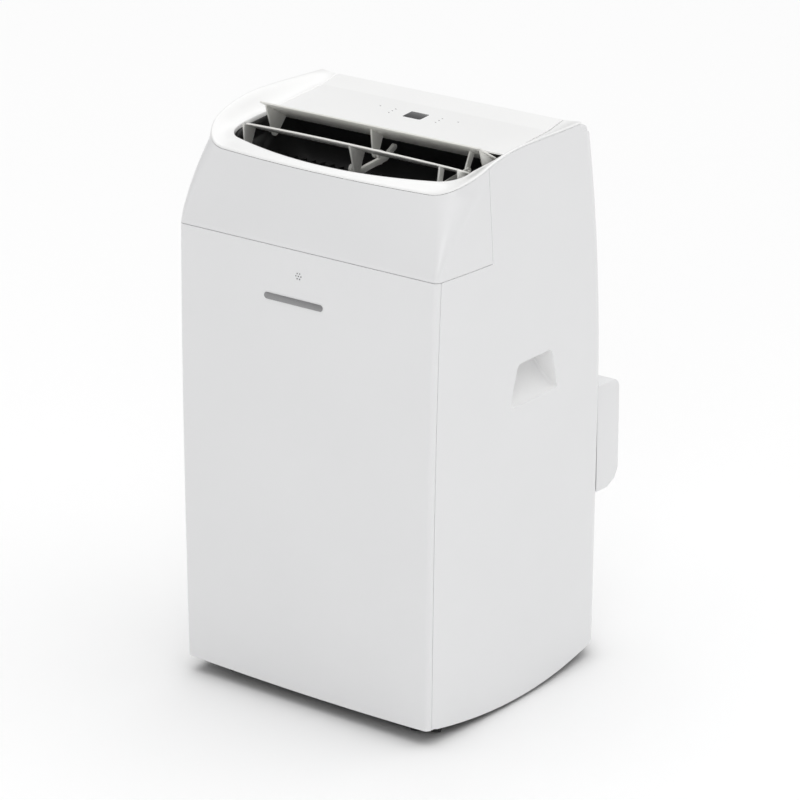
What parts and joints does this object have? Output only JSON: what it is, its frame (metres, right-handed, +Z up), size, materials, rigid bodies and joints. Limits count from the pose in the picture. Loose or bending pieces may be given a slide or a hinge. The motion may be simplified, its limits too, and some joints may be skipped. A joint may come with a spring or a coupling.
{
  "type": "portable air conditioner",
  "caption": "Portable air conditioner on castors: sloping top with swinging louvers, side hand recesses, pull-out rear filters and a round exhaust port.",
  "frame": {"origin": "on the floor, at the middle of the overall width and depth", "axes": "+Z up, +Y towards the rear face and the exhaust port, +X towards the side with the exhaust housing"},
  "size_m": [0.445, 0.443, 0.79],
  "materials": {
    "shell_white": "moulded ABS, light gloss",
    "top_white": "moulded ABS, light gloss",
    "louver_ivory": "moulded ABS, satin",
    "duct_black": "moulded ABS, matt",
    "unit_ivory": "moulded polypropylene, matt",
    "scroll_grey": "expanded and moulded foam, matt",
    "blower_grey": "moulded, matt",
    "coil_metal": "plain fins",
    "motor_steel": "zinc plated",
    "badge_metal": "satin foil",
    "compressor_black": "black enamel",
    "rubber_grey": "plain",
    "pipe_copper": "drawn copper tube",
    "mesh_dark": "woven nylon mesh",
    "display_glass": "smoked acrylic, polished",
    "lens_dark": "smoked acrylic",
    "board_green": "solder mask",
    "base_dark": "moulded polypropylene, matt",
    "castor_black": "moulded nylon"
  },
  "bodies": {
    "cabinet": {"base_tray": "base_dark", "front_panel": "shell_white", "fascia": "shell_white", "side_panel_left": "shell_white", "side_panel_right": "shell_white", "rear_cover": "shell_white", "rear_top_cap": "shell_white", "top_rim": "top_white", "control_panel": "top_white", "handle_cup_left": "shell_white", "handle_cup_right": "shell_white", "exhaust_housing": "shell_white", "hose_collar": "base_dark", "exhaust_duct": "unit_ivory", "display_window": "display_glass", "indicator_lenses": "lens_dark", "control_board": "board_green", "badge": "badge_metal", "sensor_window": "lens_dark", "outlet_duct": "duct_black", "outlet_guard": "duct_black", "louver_strut": "louver_ivory", "louver_motor": "motor_steel", "evaporator": "coil_metal", "drip_tray": "unit_ivory", "upper_scroll": "scroll_grey", "upper_motor": "motor_steel", "mid_deck": "unit_ivory", "condenser": "coil_metal", "lower_scroll": "scroll_grey", "lower_motor": "motor_steel", "compressor": "compressor_black", "compressor_feet": "rubber_grey", "refrigerant_pipes": "pipe_copper", "electrics_box": "unit_ivory", "drain_spouts": "shell_white", "cord_gland": "rubber_grey", "rear_screws": "motor_steel"},
    "rear_louver": {"rear_louver": "louver_ivory"},
    "front_louver": {"front_louver": "louver_ivory"},
    "louver_link": {"louver_link": "louver_ivory"},
    "upper_blower": {"upper_blower": "blower_grey"},
    "lower_blower": {"lower_blower": "blower_grey"},
    "upper_filter": {"upper_filter_grille": "shell_white", "upper_filter_mesh": "mesh_dark"},
    "lower_filter": {"lower_filter_grille": "shell_white", "lower_filter_mesh": "mesh_dark"},
    "upper_drain_plug": {"upper_drain_plug": "rubber_grey"},
    "lower_drain_plug": {"lower_drain_plug": "rubber_grey"},
    "castor_fl": {"castor_fork_fl": "castor_black"},
    "wheels_fl": {"castor_wheels_fl": "castor_black"},
    "castor_fr": {"castor_fork_fr": "castor_black"},
    "wheels_fr": {"castor_wheels_fr": "castor_black"},
    "castor_rl": {"castor_fork_rl": "castor_black"},
    "wheels_rl": {"castor_wheels_rl": "castor_black"},
    "castor_rr": {"castor_fork_rr": "castor_black"},
    "wheels_rr": {"castor_wheels_rr": "castor_black"}
  },
  "joints": [
    {"name": "rear_louver_swing", "type": "hinge", "parent": "cabinet", "child": "rear_louver", "pos_m": [0, -0.05438, 0.74112], "axis": [1, 0, 0], "range_deg": [0, 36]},
    {"name": "front_louver_swing", "type": "hinge", "parent": "cabinet", "child": "front_louver", "pos_m": [0, -0.1121, 0.73499], "axis": [1, 0, 0], "range_deg": [0, 36]},
    {"name": "louver_link_turn", "type": "hinge", "parent": "rear_louver", "child": "louver_link", "pos_m": [0.15, -0.06638, 0.74833], "axis": [1, 0, 0], "range_deg": [-36, 0]},
    {"name": "upper_blower_spin", "type": "hinge", "parent": "cabinet", "child": "upper_blower", "pos_m": [0, 0, 0.525], "axis": [0, 1, 0], "continuous": true},
    {"name": "lower_blower_spin", "type": "hinge", "parent": "cabinet", "child": "lower_blower", "pos_m": [0.06, 0, 0.17], "axis": [0, 1, 0], "continuous": true},
    {"name": "upper_filter_slide", "type": "slide", "parent": "cabinet", "child": "upper_filter", "axis": [0, 0.9948, 0.1017], "range_m": [0, 0.06]},
    {"name": "lower_filter_slide", "type": "slide", "parent": "cabinet", "child": "lower_filter", "axis": [0, 1, 0], "range_m": [0, 0.06]},
    {"name": "upper_drain_pull", "type": "slide", "parent": "cabinet", "child": "upper_drain_plug", "axis": [0, 1, 0], "range_m": [0, 0.025]},
    {"name": "lower_drain_pull", "type": "slide", "parent": "cabinet", "child": "lower_drain_plug", "axis": [0, 1, 0], "range_m": [0, 0.025]},
    {"name": "castor_swivel_fl", "type": "hinge", "parent": "cabinet", "child": "castor_fl", "pos_m": [-0.165, -0.1625, 0.048], "axis": [0, 0, 1], "continuous": true},
    {"name": "wheel_roll_fl", "type": "hinge", "parent": "castor_fl", "child": "wheels_fl", "pos_m": [-0.15176, -0.16954, 0.02], "axis": [0.4695, 0.8829, 0], "continuous": true},
    {"name": "castor_swivel_fr", "type": "hinge", "parent": "cabinet", "child": "castor_fr", "pos_m": [0.165, -0.1625, 0.048], "axis": [0, 0, 1], "continuous": true},
    {"name": "wheel_roll_fr", "type": "hinge", "parent": "castor_fr", "child": "wheels_fr", "pos_m": [0.17204, -0.17574, 0.02], "axis": [0.8829, 0.4695, 0], "continuous": true},
    {"name": "castor_swivel_rl", "type": "hinge", "parent": "cabinet", "child": "castor_rl", "pos_m": [-0.165, 0.1215, 0.048], "axis": [0, 0, 1], "continuous": true},
    {"name": "wheel_roll_rl", "type": "hinge", "parent": "castor_rl", "child": "wheels_rl", "pos_m": [-0.17799, 0.129, 0.02], "axis": [-0.5, -0.866, 0], "continuous": true},
    {"name": "castor_swivel_rr", "type": "hinge", "parent": "cabinet", "child": "castor_rr", "pos_m": [0.165, 0.1215, 0.048], "axis": [0, 0, 1], "continuous": true},
    {"name": "wheel_roll_rr", "type": "hinge", "parent": "castor_rr", "child": "wheels_rr", "pos_m": [0.17729, 0.1301, 0.02], "axis": [-0.5736, 0.8192, 0], "continuous": true}
  ],
  "couplings": [
    {"joint": "front_louver_swing", "follows": "rear_louver_swing", "ratio": 1},
    {"joint": "louver_link_turn", "follows": "rear_louver_swing", "ratio": -1}
  ]
}
